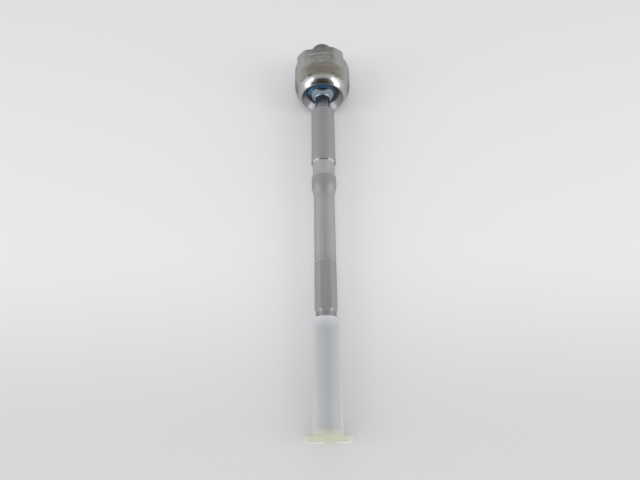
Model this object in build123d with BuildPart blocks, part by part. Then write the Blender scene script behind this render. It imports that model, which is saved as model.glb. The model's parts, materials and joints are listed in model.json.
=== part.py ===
from build123d import *
from math import asin, atan2, cos, degrees, hypot, radians, sin, sqrt, tan
import os

os.makedirs("parts", exist_ok=True)

# An inner tie rod for rack steering, lying on a flat surface.
# The rod lies along Y, with the socket towards +Y and the thread cap towards -Y.
# The origin is under the middle of the whole part, on the surface that it lies on.
# Lengths are millimetres, angles are degrees.

# Ball, and the layers round it
ball_diameter = 22.0
ball_back_flat = 6.0
grease_thickness = 0.2
running_clearance = 0.05
seat_wall = 2.0

# Socket housing
housing_wall = 4.65
housing_floor = 4.85
throat_margin = 0.3
throat_land = 0.6
mouth_depth = 3.5
mouth_flare = 3.7
nose_radius = 16.5
rim_round = 0.4
end_chamfer = 0.8
spun_lip_slope = 45.0

# Wrench section, four flats milled at the far end of the housing
wrench_wall = 1.65
wrench_flat_length = 5.5
wrench_runout_radius = 3.4
wrench_turn = 8.7
wrench_flat_count = 4

# Rack stud, its thread drawn at the major diameter
stud_diameter = 14.0
stud_length = 13.0
stud_relief_length = 1.8
stud_relief_depth = 1.0
stud_chamfer = 1.1

# Bearing seat
lip_angle = 60.0
seat_lip_wall = 0.7
seat_back_wall = 1.3
seat_back_hole = 9.0

# Disc spring behind the seat
spring_thickness = 0.6
spring_cone_height = 0.5
spring_hole = 12.0
spring_rim_gap = 0.6

# Grease that shows round the ball
film_past_lip = 14.0
film_back_angle = 165.0
bead_past_lip = 13.0
bead_crown = 0.35

# Rod, from the ball to the threaded tip
neck_diameter = 9.2
neck_ball_fillet = 0.5
neck_shoulder_fillet = 0.6
ball_to_shoulder = 19.8
shoulder_round = 2.0
most_fillet_of_step = 0.25
most_round_of_step = 0.72
land_diameter = 14.8
land_length = 36.0
lip_ring_rise = 0.5
lip_ring_height = 0.15
lip_ring_length = 3.4
groove_step_length = 0.7
groove_depth = 0.6
groove_length = 7.6
bulge_ramp = 2.2
bulge_edge_height = 0.55
bulge_crown_height = 0.7
bulge_length = 6.8
bulge_runout = 4.7
bulge_blend = 5.0
shank_diameter = 12.4
shank_length = 42.5
hex_side_count = 6
hex_across_flats = 11.0
hex_corner_cut = 0.05
hex_length = 29.4
hex_chamfer_length = 1.4
undercut_depth = 0.3
undercut_length = 6.4
thread_diameter = 12.0
thread_length = 54.1
thread_chamfer = 1.0

# Thread cap, a moulded sleeve with a flange at its closed end
cap_clearance = 0.15
cap_mouth_wall = 1.2
cap_root_wall = 1.7
hex_to_cap = 3.6
cap_tip_gap = 0.8
cap_end_wall = 2.8
cap_dish_depth = 2.2
cap_dish_diameter = 10.0
flange_diameter = 24.5
flange_thickness = 3.0
flange_round = 0.35
cap_mouth_round = 0.3


def on_sphere(radius, angle):
    """A point of a sphere about the section's origin, at an angle from the positive end of its axis."""
    return radius * sin(radians(angle)), radius * cos(radians(angle))


# Half sections. In each, the first coordinate is a radius and the second a station on the axis,
# counted from the ball's centre: towards the stud in the housing, towards the cap on the rod.

# The ball and the layers round it, with the seat's lip towards the mouth
ball_radius = ball_diameter / 2
film_inner_radius = ball_radius + running_clearance
film_outer_radius = film_inner_radius + grease_thickness
seat_sphere_radius = film_outer_radius + running_clearance
seat_radius = seat_sphere_radius + seat_wall
seat_lip = on_sphere(seat_sphere_radius, 180 - lip_angle)
seat_face_radius = seat_lip[0] + seat_lip_wall
seat_face_station = seat_lip[1]
lip_rise = tan(radians(spun_lip_slope))
seat_cone_end = seat_face_station + (seat_radius - seat_face_radius) * lip_rise
seat_back_station = seat_sphere_radius + seat_back_wall

# The housing's inside lies one clearance off the seat, and its mouth opens outside the seat's lip.
bore_radius = seat_radius + running_clearance
housing_radius = bore_radius + housing_wall
throat_radius = seat_lip[0] + throat_margin
lip_clearance = running_clearance / cos(radians(spun_lip_slope))
bore_front_station = seat_face_station + (bore_radius - seat_face_radius) * lip_rise - lip_clearance
throat_back_station = seat_face_station + (throat_radius - seat_face_radius) * lip_rise - lip_clearance
throat_station = throat_back_station - throat_land
rim_station = throat_station - mouth_depth
rim_radius = throat_radius + mouth_flare
spring_height = spring_thickness + spring_cone_height
bore_floor_station = seat_back_station + running_clearance + spring_height
ball_to_end_face = bore_floor_station + housing_floor

# The spun nose is one long arc from the rim to the barrel.
nose_centre_radius = housing_radius - nose_radius
nose_rise = sqrt(nose_radius**2 - (rim_radius - nose_centre_radius) ** 2)
nose_station = rim_station + nose_rise
nose_start_angle = degrees(asin((rim_radius - nose_centre_radius) / nose_radius))
nose_middle_angle = (nose_start_angle + 90) / 2

stud_radius = stud_diameter / 2
stud_tip_station = ball_to_end_face + stud_length

# The rod's radii and stations, each counted on from the one before
neck_radius = neck_diameter / 2
land_radius = land_diameter / 2
lip_ring_radius = land_radius + lip_ring_height
groove_radius = land_radius - groove_depth
bulge_edge_radius = groove_radius + bulge_edge_height
bulge_crown_radius = groove_radius + bulge_crown_height
shank_radius = shank_diameter / 2
hex_corner_radius = hex_across_flats / 2 / cos(radians(180 / hex_side_count)) - hex_corner_cut
thread_radius = thread_diameter / 2
undercut_radius = thread_radius - undercut_depth

shoulder_station = ball_to_shoulder
land_end = shoulder_station + land_length
lip_ring_start = land_end + lip_ring_rise
lip_ring_end = lip_ring_start + lip_ring_length
groove_start = lip_ring_end + groove_step_length
groove_end = groove_start + groove_length
bulge_start = groove_end + bulge_ramp
bulge_end = bulge_start + bulge_length
shank_start = bulge_end + bulge_runout
hex_start = shank_start + shank_length
hex_end = hex_start + hex_length
thread_start = hex_end + undercut_length
thread_tip = thread_start + thread_length

# The cap goes over the thread, and its mouth stands a little way from the hex.
cap_bore_radius = thread_radius + cap_clearance
cap_mouth_station = hex_end + hex_to_cap
cap_mouth_radius = cap_bore_radius + cap_mouth_wall
cap_root_radius = cap_bore_radius + cap_root_wall
cap_inner_end = thread_tip + cap_tip_gap
cap_outer_end = cap_inner_end + cap_end_wall + cap_dish_depth
flange_station = cap_outer_end - flange_thickness
flange_radius = flange_diameter / 2
cap_dish_radius = cap_dish_diameter / 2

# The barrel of the housing lies flat, and the rod droops about the ball until the flange rim
# meets the same surface. The rounded rim touches at the lowest point of its edge round.
rim_reach = cap_outer_end - flange_round
rim_drop = flange_radius - flange_round
droop = asin((housing_radius - flange_round) / hypot(rim_reach, rim_drop)) - atan2(rim_drop, rim_reach)

# The ball's centre stands where the origin comes out half way along the part.
near_reach = rim_reach * cos(droop) + rim_drop * sin(droop) + flange_round
ball_y = (near_reach - stud_tip_station) / 2
ball_centre = (0, ball_y, housing_radius)

rod_direction = (0, -cos(droop), -sin(droop))
housing_section = Plane(origin=ball_centre, x_dir=(1, 0, 0), z_dir=(0, 0, 1))
rod_section = Plane(origin=ball_centre, x_dir=(1, 0, 0), z_dir=(0, sin(droop), -cos(droop)))
rod_stations = Plane(origin=ball_centre, x_dir=(1, 0, 0), z_dir=rod_direction)
housing_axis = Axis(ball_centre, (0, 1, 0))
rod_axis = Axis(ball_centre, rod_direction)


def corner_at(radius, station):
    """The corner of the profile being drawn that is nearest to this radius and station."""
    return vertices().sort_by_distance((radius, station))[0]


# Socket housing: a forged cup with its wall spun in over the seat, and the stud in one piece
with BuildPart() as socket_housing:
    with BuildSketch(housing_section):
        with BuildLine():
            nose_middle = on_sphere(nose_radius, 180 - nose_middle_angle)
            ThreePointArc(
                (rim_radius, rim_station),
                (nose_centre_radius + nose_middle[0], nose_station + nose_middle[1]),
                (housing_radius, nose_station),
            )
            Polyline(
                (housing_radius, nose_station),
                (housing_radius, ball_to_end_face - end_chamfer),
                (housing_radius - end_chamfer, ball_to_end_face),
                (stud_radius - stud_relief_depth, ball_to_end_face),
                (stud_radius - stud_relief_depth, ball_to_end_face + stud_relief_length),
                (stud_radius, ball_to_end_face + stud_relief_length + stud_relief_depth),
                (stud_radius, stud_tip_station - stud_chamfer),
                (stud_radius - stud_chamfer, stud_tip_station),
                (0, stud_tip_station),
                (0, bore_floor_station),
                (bore_radius, bore_floor_station),
                (bore_radius, bore_front_station),
                (throat_radius, throat_back_station),
                (throat_radius, throat_station),
                (rim_radius, rim_station),
            )
        make_face()
        fillet(corner_at(rim_radius, rim_station), radius=rim_round)
    revolve(axis=housing_axis)

    # Each flat is milled in from the far end and runs out on the cutter's radius.
    flat_distance = bore_radius + wrench_wall
    flat_start = ball_to_end_face - wrench_flat_length
    runout_station = flat_start - wrench_runout_radius
    cutter_reach = housing_radius + wrench_runout_radius
    for turn in range(wrench_flat_count):
        flat_angle = radians(wrench_turn + turn * 360 / wrench_flat_count)
        flat_section = Plane(
            origin=ball_centre,
            x_dir=(cos(flat_angle), 0, sin(flat_angle)),
            z_dir=(-sin(flat_angle), 0, cos(flat_angle)),
        )
        with BuildSketch(flat_section):
            with BuildLine():
                RadiusArc(
                    (flat_distance, flat_start),
                    (flat_distance + wrench_runout_radius, runout_station),
                    wrench_runout_radius,
                )
                Polyline(
                    (flat_distance + wrench_runout_radius, runout_station),
                    (cutter_reach, runout_station),
                    (cutter_reach, ball_to_end_face),
                    (flat_distance, ball_to_end_face),
                    (flat_distance, flat_start),
                )
            make_face()
        extrude(amount=housing_radius, both=True, mode=Mode.SUBTRACT)
socket_housing.part.label = "socket_housing"
export_step(socket_housing.part, "parts/socket_housing.step")


# Bearing seat: a resin cup round the ball, held by the spun lip
back_hole_radius = seat_back_hole / 2
back_hole_station = sqrt(seat_sphere_radius**2 - back_hole_radius**2)
with BuildPart() as bearing_seat:
    with BuildSketch(housing_section):
        with BuildLine():
            ThreePointArc(seat_lip, (seat_sphere_radius, 0), (back_hole_radius, back_hole_station))
            Polyline(
                (back_hole_radius, back_hole_station),
                (back_hole_radius, seat_back_station),
                (seat_radius, seat_back_station),
                (seat_radius, seat_cone_end),
                (seat_face_radius, seat_face_station),
                seat_lip,
            )
        make_face()
    revolve(axis=housing_axis)
bearing_seat.part.label = "bearing_seat"
export_step(bearing_seat.part, "parts/bearing_seat.step")


# Disc spring: a coned washer between the seat and the floor of the bore
spring_rim_radius = bore_radius - spring_rim_gap
spring_hole_radius = spring_hole / 2
with BuildPart() as disc_spring:
    with BuildSketch(housing_section):
        with BuildLine():
            Polyline(
                (spring_rim_radius, bore_floor_station),
                (spring_rim_radius, bore_floor_station - spring_thickness),
                (spring_hole_radius, bore_floor_station - spring_height),
                (spring_hole_radius, bore_floor_station - spring_cone_height),
                close=True,
            )
        make_face()
    revolve(axis=housing_axis)
disc_spring.part.label = "disc_spring"
export_step(disc_spring.part, "parts/disc_spring.step")


# Grease film: a thin spherical layer between the ball and the seat, open towards the neck
film_edge_angle = lip_angle - film_past_lip
with BuildPart() as grease_film:
    with BuildSketch(rod_section):
        with BuildLine():
            film_outside = [
                on_sphere(film_outer_radius, film_edge_angle),
                (film_outer_radius, 0),
                on_sphere(film_outer_radius, film_back_angle),
            ]
            film_inside = [
                on_sphere(film_inner_radius, film_back_angle),
                (film_inner_radius, 0),
                on_sphere(film_inner_radius, film_edge_angle),
            ]
            ThreePointArc(*film_outside)
            Line(film_outside[2], film_inside[0])
            ThreePointArc(*film_inside)
            Line(film_inside[2], film_outside[0])
        make_face()
    revolve(axis=rod_axis)
grease_film.part.label = "grease_film"
export_step(grease_film.part, "parts/grease_film.step")


# Grease bead: the ring of grease squeezed out past the seat's lip, which fills the throat
bead_back_station = seat_face_station - running_clearance
bead_back = (sqrt(seat_sphere_radius**2 - bead_back_station**2), bead_back_station)
bead_edge = on_sphere(seat_sphere_radius, 180 - lip_angle + bead_past_lip)
bead_edge_middle = on_sphere(seat_sphere_radius, 180 - lip_angle + bead_past_lip / 2)
bead_front = (throat_radius - running_clearance, throat_station)
bead_chord = hypot(bead_front[0] - bead_edge[0], bead_front[1] - bead_edge[1])
bead_middle = (
    (bead_edge[0] + bead_front[0]) / 2 + bead_crown * (bead_front[1] - bead_edge[1]) / bead_chord,
    (bead_edge[1] + bead_front[1]) / 2 - bead_crown * (bead_front[0] - bead_edge[0]) / bead_chord,
)
with BuildPart() as grease_bead:
    with BuildSketch(housing_section):
        with BuildLine():
            ThreePointArc(bead_back, bead_edge_middle, bead_edge)
            ThreePointArc(bead_edge, bead_middle, bead_front)
            Polyline(bead_front, (bead_front[0], bead_back_station), bead_back)
        make_face()
    revolve(axis=housing_axis)
grease_bead.part.label = "grease_bead"
export_step(grease_bead.part, "parts/grease_bead.step")


# Rod: ball, neck, land, seat for the bellows, shank, hex and thread are one forging
back_flat_radius = ball_back_flat / 2
back_flat_station = -sqrt(ball_radius**2 - back_flat_radius**2)
neck_ball_station = sqrt(ball_radius**2 - neck_radius**2)
shoulder_step = land_radius - neck_radius
bulge_middle = (bulge_start + bulge_end) / 2
hex_cutter_radius = 2 * hex_corner_radius
with BuildPart() as rod_and_ball:
    with BuildSketch(rod_section):
        with BuildLine():
            Polyline((0, back_flat_station), (back_flat_radius, back_flat_station))
            ThreePointArc(
                (back_flat_radius, back_flat_station), (ball_radius, 0), (neck_radius, neck_ball_station)
            )
            Polyline(
                (neck_radius, neck_ball_station),
                (neck_radius, shoulder_station),
                (land_radius, shoulder_station),
                (land_radius, land_end),
                (lip_ring_radius, lip_ring_start),
                (lip_ring_radius, lip_ring_end),
                (groove_radius, groove_start),
                (groove_radius, groove_end),
                (bulge_edge_radius, bulge_start),
            )
            ThreePointArc(
                (bulge_edge_radius, bulge_start),
                (bulge_crown_radius, bulge_middle),
                (bulge_edge_radius, bulge_end),
            )
            Polyline(
                (bulge_edge_radius, bulge_end),
                (shank_radius, shank_start),
                (shank_radius, hex_start),
                (hex_corner_radius, hex_end - hex_chamfer_length),
                (undercut_radius, hex_end),
                (undercut_radius, thread_start),
                (thread_radius, thread_start + undercut_depth),
                (thread_radius, thread_tip - thread_chamfer),
                (thread_radius - thread_chamfer, thread_tip),
                (0, thread_tip),
                (0, back_flat_station),
            )
        make_face()

        # The neck's fillet and the shoulder's round share the step, and neither takes too much of it.
        fillet(corner_at(neck_radius, neck_ball_station), radius=neck_ball_fillet)
        fillet_radius = min(neck_shoulder_fillet, most_fillet_of_step * shoulder_step)
        fillet(corner_at(neck_radius, shoulder_station), radius=fillet_radius)
        round_radius = min(shoulder_round, most_round_of_step * shoulder_step)
        fillet(corner_at(land_radius, shoulder_station), radius=round_radius)
        fillet(corner_at(groove_radius, groove_end), radius=bulge_blend)
        fillet(corner_at(bulge_edge_radius, bulge_start), radius=bulge_blend)
        fillet(corner_at(bulge_edge_radius, bulge_end), radius=bulge_blend)
        fillet(corner_at(shank_radius, shank_start), radius=bulge_blend)
    revolve(axis=rod_axis)

    # Six flats stand square to the shank, with one of them facing up. The corners between them start
    # flush with the shank and grow a little towards the thread.
    with BuildSketch(rod_stations.offset(hex_start)):
        Circle(radius=hex_cutter_radius)
        RegularPolygon(radius=hex_across_flats / 2, side_count=hex_side_count, major_radius=False, mode=Mode.SUBTRACT)
    extrude(amount=hex_length, mode=Mode.SUBTRACT)
rod_and_ball.part.label = "rod_and_ball"
export_step(rod_and_ball.part, "parts/rod_and_ball.step")


# Thread cap: a tapered sleeve, closed at its flange, with a moulded dish in the end
with BuildPart() as thread_cap:
    with BuildSketch(rod_section):
        with BuildLine():
            Polyline(
                (0, cap_inner_end),
                (cap_bore_radius, cap_inner_end),
                (cap_bore_radius, cap_mouth_station),
                (cap_mouth_radius, cap_mouth_station),
                (cap_root_radius, flange_station),
                (flange_radius, flange_station),
                (flange_radius, cap_outer_end),
                (cap_dish_radius, cap_outer_end),
                (cap_dish_radius, cap_outer_end - cap_dish_depth),
                (0, cap_outer_end - cap_dish_depth),
                close=True,
            )
        make_face()
        fillet(corner_at(cap_bore_radius, cap_mouth_station), radius=cap_mouth_round)
        fillet(corner_at(cap_mouth_radius, cap_mouth_station), radius=cap_mouth_round)
        fillet(corner_at(cap_root_radius, flange_station), radius=flange_round)
        fillet(corner_at(flange_radius, flange_station), radius=flange_round)
        fillet(corner_at(flange_radius, cap_outer_end), radius=flange_round)
    revolve(axis=rod_axis)
thread_cap.part.label = "thread_cap"
export_step(thread_cap.part, "parts/thread_cap.step")
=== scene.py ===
import bmesh
import bpy
import json
from functools import cached_property
from math import atan2, ceil, cos, radians, sin, tau
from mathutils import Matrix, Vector


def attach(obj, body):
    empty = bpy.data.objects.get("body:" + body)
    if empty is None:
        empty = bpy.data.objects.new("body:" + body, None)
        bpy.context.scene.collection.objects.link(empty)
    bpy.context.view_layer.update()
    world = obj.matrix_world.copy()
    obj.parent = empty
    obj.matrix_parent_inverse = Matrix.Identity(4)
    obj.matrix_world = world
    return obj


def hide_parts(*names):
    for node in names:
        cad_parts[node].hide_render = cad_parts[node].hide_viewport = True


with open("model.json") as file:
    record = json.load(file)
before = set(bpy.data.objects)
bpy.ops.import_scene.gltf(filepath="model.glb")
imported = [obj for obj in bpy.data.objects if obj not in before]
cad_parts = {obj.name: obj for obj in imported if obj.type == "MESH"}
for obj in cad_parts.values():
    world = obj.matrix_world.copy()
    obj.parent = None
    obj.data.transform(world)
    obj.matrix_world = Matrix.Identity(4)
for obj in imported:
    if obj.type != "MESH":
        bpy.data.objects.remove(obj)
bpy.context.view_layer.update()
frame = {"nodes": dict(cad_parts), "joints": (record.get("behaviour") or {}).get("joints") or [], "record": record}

# An inner tie rod lying on a pale floor. Lengths in this script are metres, and MM turns millimetres
# into them. Angles are degrees, except in the finishes, where they are turns. Stations are counted from
# the ball's centre: towards the rack stud on the housing, and towards the thread cap on the rod.
MM = 0.001

nodes = frame["nodes"]
joints = {joint["name"]: joint for joint in frame["joints"]}
mounts = {mount["name"]: mount for mount in frame["record"]["mounts"]}
ball_centre = Vector(joints["ball_swing"]["pos_m"])
rod_direction = Vector(joints["rod_spin"]["axis"])
droop = atan2(-rod_direction.z, -rod_direction.y)


# Camera, at the photograph's viewing angle
camera_place = Vector((-4.4, -143.7, 289.5)) * MM
camera_tilt = 24.9
camera_turn = -0.69
camera_clip = 0.01
sensor_width = 36.0
picture_width = 640
focal_pixels = 524.0

camera_data = bpy.data.cameras.new("camera")
camera_data.sensor_width = sensor_width
camera_data.lens = sensor_width * focal_pixels / picture_width
camera_data.clip_start = camera_clip
camera = bpy.data.objects.new("camera", camera_data)
camera.location = camera_place
camera.rotation_euler = (radians(camera_tilt), 0, radians(camera_turn))
bpy.context.scene.collection.objects.link(camera)
bpy.context.scene.camera = camera
bpy.context.scene.view_settings.view_transform = "Standard"


# Short calls for building node trees. A value may be a number, a colour or another node's socket.
def feed(socket, value):
    """Links a socket to another node's output, or sets its constant."""
    if isinstance(value, bpy.types.NodeSocket):
        socket.id_data.links.new(value, socket)
    elif isinstance(value, (tuple, list)) and len(value) == 3 and len(socket.default_value) == 4:
        socket.default_value = (*value, 1.0)
    else:
        socket.default_value = value


class Finish:
    """A material that is painted in layers, each where its mask is 1.

    A mask goes by the place on the piece: its station along the axis and its radius about it, in
    metres, and its angle about it, in turns from the top. The axis tilts with the rod where asked.
    """

    def __init__(self, name, tilt=0.0, towards=1.0, **constants):
        self.material = bpy.data.materials.new(name)
        self.material.use_nodes = True
        self.nodes = self.material.node_tree.nodes
        self.shader = self.nodes["Principled BSDF"]
        self.tilt = tilt
        self.towards = towards
        for socket, value in constants.items():
            feed(self.shader.inputs[socket.replace("_", " ")], value)

    @cached_property
    def modelled(self):
        """The place in the piece's own frame."""
        return self.nodes.new("ShaderNodeTexCoord").outputs["Object"]

    @cached_property
    def place(self):
        """The place from the ball's centre, with Y along the axis."""
        node = self.nodes.new("ShaderNodeMapping")
        node.vector_type = "TEXTURE"
        feed(node.inputs["Vector"], self.modelled)
        feed(node.inputs["Location"], tuple(ball_centre))
        feed(node.inputs["Rotation"], (self.tilt, 0, 0))
        return node.outputs[0]

    @cached_property
    def xyz(self):
        return self.split(self.place)

    @cached_property
    def station(self):
        return self.math("MULTIPLY", self.xyz["Y"], self.towards)

    @cached_property
    def radius(self):
        across = self.math("POWER", self.xyz["X"], 2.0)
        up = self.math("POWER", self.xyz["Z"], 2.0)
        return self.math("SQRT", self.math("ADD", across, up))

    @cached_property
    def angle(self):
        return self.math("DIVIDE", self.math("ARCTAN2", self.xyz["X"], self.xyz["Z"]), tau)

    @cached_property
    def sides(self):
        """The angle down from the top, the same on both sides."""
        return self.math("ABSOLUTE", self.angle)

    def split(self, vector):
        node = self.nodes.new("ShaderNodeSeparateXYZ")
        feed(node.inputs[0], vector)
        return node.outputs

    def math(self, operation, a, b=0.0):
        node = self.nodes.new("ShaderNodeMath")
        node.operation = operation
        feed(node.inputs[0], a)
        feed(node.inputs[1], b)
        return node.outputs[0]

    def times(self, product, *factors):
        """Masks or numbers, multiplied with one another."""
        for factor in factors:
            product = self.math("MULTIPLY", product, factor)
        return product

    def step(self, value, start, end, low=0.0, high=1.0):
        """Runs smoothly from low at start to high at end."""
        node = self.nodes.new("ShaderNodeMapRange")
        node.interpolation_type = "SMOOTHSTEP"
        for socket, amount in zip(node.inputs, (value, start, end, low, high)):
            feed(socket, amount)
        return node.outputs[0]

    def fade(self, value, start, end):
        """Runs smoothly from 1 at start to 0 at end."""
        return self.step(value, start, end, low=1.0, high=0.0)

    def zone(self, value, start, end, edge):
        """1 between start and end, and 0 outside, with soft edges of a given width."""
        rise = self.step(value, start - edge / 2, start + edge / 2)
        fall = self.fade(value, end - edge / 2, end + edge / 2)
        return self.times(rise, fall)

    def mix(self, factor, a, b):
        """A colour that goes from a to b. The node's number and vector sockets come first."""
        node = self.nodes.new("ShaderNodeMix")
        node.data_type = "RGBA"
        feed(node.inputs["Factor"], factor)
        feed(node.inputs[6], a)
        feed(node.inputs[7], b)
        return node.outputs[2]

    def blend(self, factor, a, b):
        """A number that goes from a to b."""
        node = self.nodes.new("ShaderNodeMix")
        feed(node.inputs["Factor"], factor)
        feed(node.inputs[2], a)
        feed(node.inputs[3], b)
        return node.outputs[0]

    def noise(self, vector, scale, detail=2.0, roughness=0.5):
        node = self.nodes.new("ShaderNodeTexNoise")
        feed(node.inputs["Vector"], vector)
        feed(node.inputs["Scale"], scale)
        feed(node.inputs["Detail"], detail)
        feed(node.inputs["Roughness"], roughness)
        return node.outputs["Fac"]

    def stretch(self, along):
        """The place with its part along the axis scaled, which turns a texture into rings or streaks."""
        node = self.nodes.new("ShaderNodeMapping")
        feed(node.inputs["Vector"], self.place)
        feed(node.inputs["Scale"], (1, along, 1))
        return node.outputs[0]

    def coat(self, colour, roughness):
        """The layer under all others, all over the piece."""
        self.colour = colour
        self.roughness = roughness

    def lay(self, mask, colour=None, roughness=None, strength=None):
        """A colour, a roughness or both over the layers so far, where the mask is 1."""
        if strength is not None:
            mask = self.times(mask, strength)
        if colour is not None:
            self.colour = self.mix(mask, self.colour, colour)
        if roughness is not None:
            self.roughness = self.blend(mask, self.roughness, roughness)

    def paint(self):
        """Gives the layers to the shader."""
        feed(self.shader.inputs["Base Color"], self.colour)
        feed(self.shader.inputs["Roughness"], self.roughness)

    def bump(self, height, distance, strength):
        node = self.nodes.new("ShaderNodeBump")
        feed(node.inputs["Height"], height)
        feed(node.inputs["Distance"], distance)
        feed(node.inputs["Strength"], strength)
        feed(self.shader.inputs["Normal"], node.outputs[0])


# Threads, which the CAD model leaves plain at their major diameters. Each threaded end is taken off
# a copy of its node, and a rolled thread grows from the cut. It begins after a short lead, grows to
# its full depth over a few turns, and ends in the chamfer of the tip.
thread_steps = 96
thread_corners = (1 / 16, 3 / 8, 5 / 8, 15 / 16)
root_corners = (3 / 8, 5 / 8)
thread_depth = 5 / 8
thread_flank = 30.0
early_turns = 1
spare_turns = 3
thread_lead = 0.15 * MM
growing_turns = 2.0
weld = 0.001 * MM
sharp_angle = 22.0


def threaded_copy(node, body, mount, pitch, chamfer):
    """A copy of a CAD node, which stands for it, with a thread on the end that a mount stands on."""
    axis = Vector(mount["axis"])
    across = Vector((1, 0, 0))
    up = axis.cross(across)
    crest = mount["dims"]["r_mm"] * MM
    length = mount["dims"]["length_mm"] * MM
    middle = (Vector(mount["pos_m"]) - ball_centre).dot(axis)
    start = middle - length / 2
    tip = middle + length / 2 + chamfer
    depth = thread_depth * pitch * cos(radians(thread_flank))

    model = bmesh.new()
    model.from_mesh(nodes[node].data)
    bmesh.ops.remove_doubles(model, verts=model.verts, dist=weld)
    bmesh.ops.bisect_plane(
        model,
        geom=model.verts[:] + model.edges[:] + model.faces[:],
        dist=weld,
        plane_co=ball_centre + axis * start,
        plane_no=axis,
        clear_outer=True,
    )
    cut = [edge for edge in model.edges if edge.is_boundary]

    # Each row of points follows a corner of the thread's profile round its helix. The helix starts
    # early and ends late, and is held between the two ends, where doubled points are welded into
    # plain rings.
    rows = []
    for row in range((ceil(length / pitch) + spare_turns) * len(thread_corners)):
        turns, corner = divmod(row, len(thread_corners))
        points = []
        for step in range(thread_steps):
            turned = turns - early_turns + thread_corners[corner] + step / thread_steps
            station = start + pitch * turned
            station = min(max(station, start + thread_lead), tip)
            radius = crest
            if thread_corners[corner] in root_corners:
                radius -= depth * min((station - start - thread_lead) / (growing_turns * pitch), 1)
            radius = min(radius, crest - chamfer + tip - station)
            angle = tau * step / thread_steps
            outwards = across * cos(angle) + up * sin(angle)
            points.append(model.verts.new(ball_centre + axis * station + outwards * radius))
        rows.append(points)
    for row in range(len(rows) - 1 - len(thread_corners)):
        for step in range(thread_steps):
            later = (step + 1) % thread_steps
            climb = len(thread_corners) if later == 0 else 0
            model.faces.new(
                (
                    rows[row][step],
                    rows[row + climb][later],
                    rows[row + climb + 1][later],
                    rows[row + 1][step],
                )
            )
    bmesh.ops.remove_doubles(model, verts=[point for points in rows for point in points], dist=weld)
    bmesh.ops.delete(model, geom=[vert for vert in model.verts if not vert.link_faces], context="VERTS")

    open_edges = [edge for edge in model.edges if edge.is_boundary and edge not in cut]
    tip_edges = [edge for edge in open_edges if (edge.verts[0].co - ball_centre).dot(axis) > middle]
    lead_edges = [edge for edge in open_edges if edge not in tip_edges]
    bmesh.ops.bridge_loops(model, edges=cut + lead_edges)
    bmesh.ops.holes_fill(model, edges=tip_edges, sides=0)
    bmesh.ops.recalc_face_normals(model, faces=model.faces)

    mesh = bpy.data.meshes.new("threaded_" + node)
    model.to_mesh(mesh)
    model.free()
    mesh.shade_smooth()
    mesh.set_sharp_from_angle(angle=radians(sharp_angle))
    piece = bpy.data.objects.new("threaded_" + node, mesh)
    shading = piece.modifiers.new("shading", "WEIGHTED_NORMAL")
    shading.keep_sharp = True
    bpy.context.scene.collection.objects.link(piece)
    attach(piece, body)
    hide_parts(node)
    return piece


threaded_housing = threaded_copy(
    "socket_housing", "socket", mounts["rack_stud"], pitch=1.5 * MM, chamfer=1.1 * MM
)
threaded_rod = threaded_copy(
    "rod_and_ball", "rod", mounts["outer_thread"], pitch=1.25 * MM, chamfer=1.0 * MM
)


# Floor, world and lights. Two softboxes stand at the sides. Behind the camera, a fill lamp softens the
# shadows, and metal doesn't mirror it. The cards there are the dark side of the studio, which only
# reflections see.
floor_size = 3.0
floor_light = (0.690, 0.690, 0.699)
floor_shade = (0.565, 0.561, 0.569)
floor_specular = 0.2
floor_roughness = 0.85
shade_start = -0.01
shade_end = -0.125
world_colour = (0.76, 0.76, 0.766)
light_distance = 0.9
light_width = 0.32
light_tall = 0.75
light_height = 31.0
light_turn = 14.0
light_power = 2.2
fill_size = 0.35
fill_distance = 0.75
fill_power = 1.0
card_corners = 48
card_specular = 0.1
card_roughness = 0.9
card_cloud_scale = 8.0
card_cloud_gain = 1.4
camera_card = (1.0, 0.42)
camera_card_distance = 0.42
camera_card_colour = (0.05, 0.05, 0.047)
hand_card = (0.16, 0.12)
hand_card_distance = 0.40
hand_card_colour = (0.10, 0.02, 0.03)

floor_finish = Finish("floor_paper", Specular_IOR_Level=floor_specular)
# The floor is painted darker towards the camera: painted shade.
shade = floor_finish.fade(floor_finish.split(floor_finish.modelled)["Y"], shade_end, shade_start)
floor_finish.coat(floor_light, floor_roughness)
floor_finish.lay(shade, floor_shade)
floor_finish.paint()
bpy.ops.mesh.primitive_plane_add(size=floor_size)
floor = bpy.context.object
floor.name = "floor"
floor.data.materials.append(floor_finish.material)

world = bpy.data.worlds.new("studio")
bpy.context.scene.world = world
world.use_nodes = True
background = world.node_tree.nodes["Background"]
background.inputs["Color"].default_value = (*world_colour, 1.0)
background.inputs["Strength"].default_value = 1.0


def area_lamp(name, shape, width, power, direction, distance):
    """A lamp that stands off in a direction and shines at the middle of the part."""
    data = bpy.data.lights.new(name, "AREA")
    data.shape = shape
    data.size = width
    data.energy = power
    lamp = bpy.data.objects.new(name, data)
    lamp.location = direction * distance
    lamp.rotation_euler = direction.to_track_quat("Z", "Y").to_euler()
    bpy.context.scene.collection.objects.link(lamp)
    return lamp


def softbox(name, side):
    """A large upright lamp to one side, low and a little on the camera's side."""
    level = cos(radians(light_height))
    direction = Vector(
        (
            side * level * cos(radians(light_turn)),
            -level * sin(radians(light_turn)),
            sin(radians(light_height)),
        )
    )
    lamp = area_lamp(name, "RECTANGLE", light_width, light_power, direction, light_distance)
    lamp.data.size_y = light_tall


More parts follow.
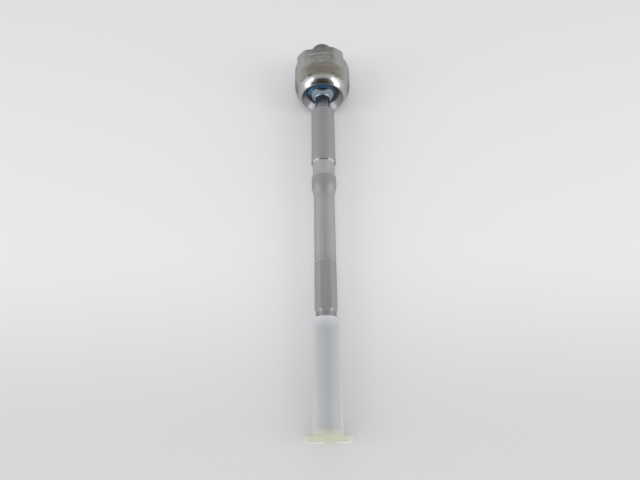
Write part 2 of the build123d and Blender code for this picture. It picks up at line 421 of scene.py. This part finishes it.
def reflected_card(name, size, distance, colour):
    """An oval card behind the camera that faces the ball, and that only reflections see."""
    finish = Finish(name + "_finish", Specular_IOR_Level=card_specular)
    brighter = tuple(channel * card_cloud_gain for channel in colour)
    finish.coat(colour, card_roughness)
    finish.lay(finish.noise(finish.modelled, card_cloud_scale), brighter)
    finish.paint()
    bpy.ops.mesh.primitive_circle_add(radius=0.5, vertices=card_corners, fill_type="NGON")
    card = bpy.context.object
    card.name = name
    direction = (camera_place - ball_centre).normalized()
    card.location = ball_centre + direction * distance
    card.rotation_euler = (-direction).to_track_quat("Z", "Y").to_euler()
    card.scale = (*size, 1)
    card.data.materials.append(finish.material)
    card.visible_camera = False
    card.visible_diffuse = False
    card.visible_shadow = False
    card.visible_transmission = False


softbox("softbox_left", -1)
softbox("softbox_right", 1)
fill = area_lamp("fill", "DISK", fill_size, fill_power, camera_place.normalized(), fill_distance)
fill.visible_glossy = False
reflected_card("camera_side", camera_card, camera_card_distance, camera_card_colour)
reflected_card("hand_side", hand_card, hand_card_distance, hand_card_colour)


# Housing: dull turned barrel, a brown band that is a painted reflection of the dark room above, and a polished
# nose with a greasy mouth. The polish and the band both fade into satin grey at the sides.
def housing_steel():
    finish = Finish("housing_steel", Metallic=1.0)
    station = finish.station
    angle = finish.angle
    sides = finish.sides
    turned = finish.noise(finish.stretch(12), scale=700.0, detail=3.0)
    mottle = finish.noise(finish.stretch(2.2), scale=320.0, detail=4.0, roughness=0.6)
    cloud = finish.noise(finish.place, scale=160.0, detail=3.0)
    raggedness = 4.0 * MM
    uneven = finish.times(finish.math("SUBTRACT", mottle, 0.5), raggedness)
    ragged = finish.math("ADD", station, uneven)

    # Barrel, with a painted highlight on its shoulders and painted shade on its flanks, and the stud behind it
    barrel_tones = (0.27, 0.272, 0.256), (0.35, 0.352, 0.332)
    shoulder_highlight_tone = (0.48, 0.482, 0.464)
    flank_shade_tone = (0.18, 0.182, 0.176)
    stud_tones = (0.36, 0.365, 0.35), (0.44, 0.445, 0.43)
    barrel = finish.fade(station, 17.6 * MM, 18.2 * MM)
    highlit_shoulders = finish.times(finish.zone(sides, 0.075, 0.19, edge=0.06), barrel)
    shaded_flanks = finish.times(finish.zone(sides, 0.21, 0.30, edge=0.05), barrel)
    stud = finish.step(station, 18.7 * MM, 19.2 * MM)
    spread = finish.step(mottle, 0.35, 0.65)
    finish.coat(finish.mix(spread, *barrel_tones), roughness=finish.blend(turned, 0.38, 0.52))
    finish.lay(highlit_shoulders, shoulder_highlight_tone, strength=0.7)
    finish.lay(shaded_flanks, flank_shade_tone, strength=0.8)
    finish.lay(stud, finish.mix(mottle, *stud_tones))

    # Brown band with ragged edges, a painted reflection of the dark room above, redder on top, with a painted
    # glint there and dark spots at its near edge
    olive_tones = (0.175, 0.165, 0.12), (0.285, 0.272, 0.222)
    reddish_reflection_tones = (0.17, 0.125, 0.10), (0.29, 0.24, 0.222)
    reddish_reflection_strength = 0.35
    painted_glint_tone = (0.46, 0.41, 0.40)
    spot_tone = (0.07, 0.055, 0.04)
    near_edge = finish.step(ragged, -5.6 * MM, -3.6 * MM)
    far_edge = finish.fade(ragged, 2.2 * MM, 5.6 * MM)
    patches = finish.step(mottle, 0.3, 0.6, low=0.6)
    reflected_band = finish.times(near_edge, far_edge, finish.fade(sides, 0.07, 0.17), patches)
    reddish_reflection = finish.zone(angle, -0.05, 0.08, edge=0.06)
    olive = finish.mix(cloud, *olive_tones)
    reflected_brown = finish.mix(finish.times(reddish_reflection, reddish_reflection_strength), olive, finish.mix(mottle, *reddish_reflection_tones))
    painted_glint = finish.times(finish.zone(station, 1.2 * MM, 2.2 * MM, edge=0.8 * MM), reddish_reflection)
    spot_rows = finish.zone(station, -5.2 * MM, -2.8 * MM, edge=1.2 * MM)
    spot_sides = finish.zone(sides, 0.05, 0.16, edge=0.05)
    spots = finish.times(finish.step(mottle, 0.42, 0.56), spot_rows, spot_sides)
    finish.lay(reflected_band, reflected_brown)
    finish.lay(painted_glint, painted_glint_tone, strength=0.3)
    finish.lay(spots, spot_tone, strength=0.5)

    # Run-out of the wrench flat on top, with a dark line of painted shade at its edge and a bright milled stripe
    # beyond it
    shade_line_tone = (0.12, 0.12, 0.12)
    stripe_tone = (0.50, 0.50, 0.49)
    flat_top = finish.zone(angle, -0.07, 0.045, edge=0.03)
    shade_line = finish.zone(station, 9.7 * MM, 10.7 * MM, edge=0.5 * MM)
    stripe = finish.zone(station, 11.2 * MM, 13.2 * MM, edge=1.0 * MM)
    finish.lay(finish.times(shade_line, flat_top), shade_line_tone, strength=0.45)
    finish.lay(finish.times(stripe, flat_top), stripe_tone, strength=0.5)

    # Nose, polished on top, where the polish is painted darker on the right as painted shade. Its boundary comes
    # nearer to the camera at the sides.
    satin_tones = (0.40, 0.398, 0.39), (0.52, 0.518, 0.51)
    bright_tones = (0.43, 0.43, 0.425), (0.51, 0.51, 0.505)
    right_shade_tones = (0.36, 0.362, 0.355), (0.43, 0.432, 0.425)
    shift = finish.step(sides, 0.04, 0.13, high=1.6 * MM)
    nose = finish.fade(finish.math("ADD", ragged, shift), -7.0 * MM, -4.0 * MM)
    polish = finish.times(nose, finish.fade(sides, 0.07, 0.24))
    bright = finish.mix(turned, *bright_tones)
    shaded_right = finish.mix(turned, *right_shade_tones)
    polished = finish.mix(finish.step(angle, 0.02, 0.12), bright, shaded_right)
    finish.lay(nose, finish.mix(mottle, *satin_tones), roughness=0.34)
    finish.lay(polish, polished, roughness=0.21)

    # Cone of the mouth, with a painted highlight low down at each side, and grease smeared on its left side
    cone_tones = (0.25, 0.262, 0.28), (0.41, 0.42, 0.44)
    low_highlight_tone = (0.80, 0.82, 0.84)
    smear_tone = (0.085, 0.19, 0.31)
    cone = finish.times(nose, finish.fade(finish.radius, 13.3 * MM, 13.7 * MM))
    low = finish.times(cone, finish.zone(sides, 0.37, 0.46, edge=0.04))
    smear_side = finish.zone(angle, -0.255, -0.09, edge=0.05)
    smear_radius = finish.fade(finish.radius, 13.1 * MM, 13.8 * MM)
    smear = finish.times(smear_side, smear_radius, cone)
    finish.lay(cone, finish.mix(mottle, *cone_tones), roughness=0.32)
    finish.lay(low, low_highlight_tone)
    finish.lay(smear, smear_tone)

    finish.paint()
    finish.bump(mottle, distance=0.06 * MM, strength=0.45)
    return finish.material


# Rod: dull grey land and shank, a smoother groove for the bellows, and a bright ball on a dark neck
def rod_steel():
    finish = Finish("rod_steel", tilt=droop, towards=-1.0, Metallic=1.0)
    station = finish.station
    sides = finish.sides
    grain = finish.noise(finish.place, scale=2500.0, detail=3.0, roughness=0.6)
    cloud = finish.noise(finish.stretch(0.25), scale=220.0, detail=3.0)

    # Forged skin, clouded, paler in the middle of the shank, and with painted shade along the top
    dull_tones = (0.36, 0.358, 0.366), (0.47, 0.467, 0.476)
    cloud_tone = (0.36, 0.357, 0.362)
    pale_tone = (0.48, 0.475, 0.48)
    top_shade_tone = (0.31, 0.308, 0.312)
    pale = finish.zone(station, 78 * MM, 122 * MM, edge=6 * MM)
    top = finish.fade(sides, 0.03, 0.12)
    top_shade_strength = finish.step(station, 60 * MM, 72 * MM, low=0.45, high=0.24)
    finish.coat(finish.mix(grain, *dull_tones), roughness=0.51)
    finish.lay(cloud, cloud_tone, strength=0.35)
    finish.lay(pale, pale_tone, strength=0.7)
    finish.lay(top, top_shade_tone, strength=top_shade_strength)

    # Groove, the step down to it, with a painted highlight at its sides and painted shade on top, and the rougher
    # bulge
    smooth_tones = (0.45, 0.45, 0.44), (0.51, 0.51, 0.495)
    rim_highlight_tone = (0.80, 0.80, 0.80)
    rim_low = (0.45, 0.45, 0.45)
    rim_shade_tone = (0.24, 0.24, 0.24)
    groove = finish.zone(station, 59.7 * MM, 70.3 * MM, edge=0.2 * MM)
    bulge = finish.zone(station, 70 * MM, 86 * MM, edge=3 * MM)
    edge = finish.zone(station, 59.75 * MM, 60.35 * MM, edge=0.1 * MM)
    rim_light_and_shade = finish.mix(finish.step(sides, 0.16, 0.19), rim_highlight_tone, rim_low)
    rim_light_and_shade = finish.mix(finish.fade(sides, 0.05, 0.08), rim_light_and_shade, rim_shade_tone)
    rim_roughness = finish.blend(finish.step(sides, 0.05, 0.08), 0.6, 0.16)
    finish.lay(groove, finish.mix(grain, *smooth_tones), roughness=0.48)
    finish.lay(bulge, roughness=0.64)
    finish.lay(edge, rim_light_and_shade, roughness=rim_roughness)

    # Start of the hexagon with a painted highlight on its step, the undercut before the thread, and the thread
    # under the cap
    wall_highlight_tone = (0.62, 0.62, 0.625)
    undercut_tone = (0.31, 0.312, 0.325)
    thread_tone = (0.19, 0.212, 0.248)
    highlit_wall = finish.zone(station, 124.0 * MM, 124.7 * MM, edge=0.2 * MM)
    undercut = finish.zone(station, 154 * MM, 160.5 * MM, edge=1 * MM)
    thread = finish.step(station, 160.0 * MM, 160.6 * MM)
    finish.lay(highlit_wall, wall_highlight_tone, roughness=0.8)
    finish.lay(undercut, undercut_tone)
    finish.lay(thread, thread_tone)

    # Neck with a painted highlight along each side, the ball, and the collar between them, with painted highlights
    # at its sides
    neck_and_highlight_tones = (0.27, 0.305, 0.34), (0.56, 0.60, 0.64)
    neck_highlight_strength = 0.6
    ball_tone = (0.285, 0.345, 0.385)
    collar_and_highlight_tones = (0.55, 0.60, 0.64), (0.92, 0.95, 0.97)
    neck = finish.zone(station, 9.5 * MM, 19.6 * MM, edge=0.4 * MM)
    ball = finish.fade(station, 10.2 * MM, 10.7 * MM)
    collar = finish.zone(station, 9.9 * MM, 10.7 * MM, edge=0.3 * MM)
    lights = finish.times(finish.zone(sides, 0.075, 0.145, edge=0.03), neck_highlight_strength)
    collar_highlights = finish.zone(sides, 0.05, 0.17, edge=0.04)
    finish.lay(neck, finish.mix(lights, *neck_and_highlight_tones), roughness=0.26)
    finish.lay(ball, ball_tone, roughness=0.18)
    finish.lay(collar, finish.mix(collar_highlights, *collar_and_highlight_tones), roughness=0.4)

    finish.paint()
    finish.bump(grain, distance=0.02 * MM, strength=0.4)
    return finish.material


# Grease: dark blue on top and where it is smeared on the left, and painted nearly black below as painted shade
def grease():
    grease_shade_tone = (0.006, 0.009, 0.016)
    blue_tones = (0.017, 0.05, 0.105), (0.03, 0.092, 0.19)
    smear_tone = (0.06, 0.15, 0.27)
    finish = Finish("grease", IOR=1.45, Coat_Weight=0.4, Coat_Roughness=0.05)
    thickness = finish.noise(finish.place, scale=300.0)
    top = finish.fade(finish.sides, 0.06, 0.24)
    smear = finish.zone(finish.angle, -0.23, -0.12, edge=0.06)
    finish.coat(grease_shade_tone, roughness=0.15)
    finish.lay(top, finish.mix(thickness, *blue_tones))
    finish.lay(smear, smear_tone)
    finish.paint()
    return finish.material


def clouded(name, tones, roughness, scale, **constants):
    """A plain finish that wanders between two tones."""
    finish = Finish(name, **constants)
    cloud = finish.noise(finish.place, scale)
    finish.coat(finish.mix(cloud, *tones), roughness)
    finish.paint()
    return finish.material


def seat_resin():
    tones = (0.02, 0.03, 0.05), (0.03, 0.045, 0.07)
    return clouded("seat_resin", tones, roughness=0.35, scale=400.0, Specular_IOR_Level=0.5)


def spring_steel():
    tones = (0.30, 0.31, 0.34), (0.38, 0.38, 0.40)
    return clouded("spring_steel", tones, roughness=0.3, scale=500.0, Metallic=1.0)


# Cap: frosted and see-through, with a yellower flange. Most of the light goes on through its wall, so
# its shadow is faint.
def cap_plastic():
    sleeve_tones = (0.93, 0.938, 0.942), (0.955, 0.96, 0.963)
    flange_tone = (0.875, 0.885, 0.755)
    sleeve_clearness = 0.95
    flange_clearness = 0.45
    finish = Finish(
        "cap_plastic",
        tilt=droop,
        towards=-1.0,
        IOR=1.4,
        Transmission_Weight=0.84,
        Sheen_Weight=0.35,
        Sheen_Roughness=0.4,
    )
    flange = finish.step(finish.station, 212 * MM, 217.5 * MM)
    cloud = finish.noise(finish.place, scale=120.0)
    finish.coat(finish.mix(cloud, *sleeve_tones), roughness=0.45)
    finish.lay(flange, flange_tone)
    finish.paint()

    shadow_ray = finish.nodes.new("ShaderNodeLightPath").outputs["Is Shadow Ray"]
    clearness = finish.blend(flange, sleeve_clearness, flange_clearness)
    clear = finish.nodes.new("ShaderNodeBsdfTransparent")
    shadow = finish.nodes.new("ShaderNodeMixShader")
    feed(shadow.inputs[0], finish.times(shadow_ray, clearness))
    feed(shadow.inputs[1], finish.shader.outputs[0])
    feed(shadow.inputs[2], clear.outputs[0])
    feed(finish.nodes["Material Output"].inputs["Surface"], shadow.outputs[0])
    return finish.material


def wear(piece, material):
    piece.data.materials.clear()
    piece.data.materials.append(material)


# Every shown piece gets its finish.
wear(threaded_housing, housing_steel())
wear(threaded_rod, rod_steel())
grease_finish = grease()
wear(nodes["grease_film"], grease_finish)
wear(nodes["grease_bead"], grease_finish)
wear(nodes["bearing_seat"], seat_resin())
wear(nodes["disc_spring"], spring_steel())
wear(nodes["thread_cap"], cap_plastic())
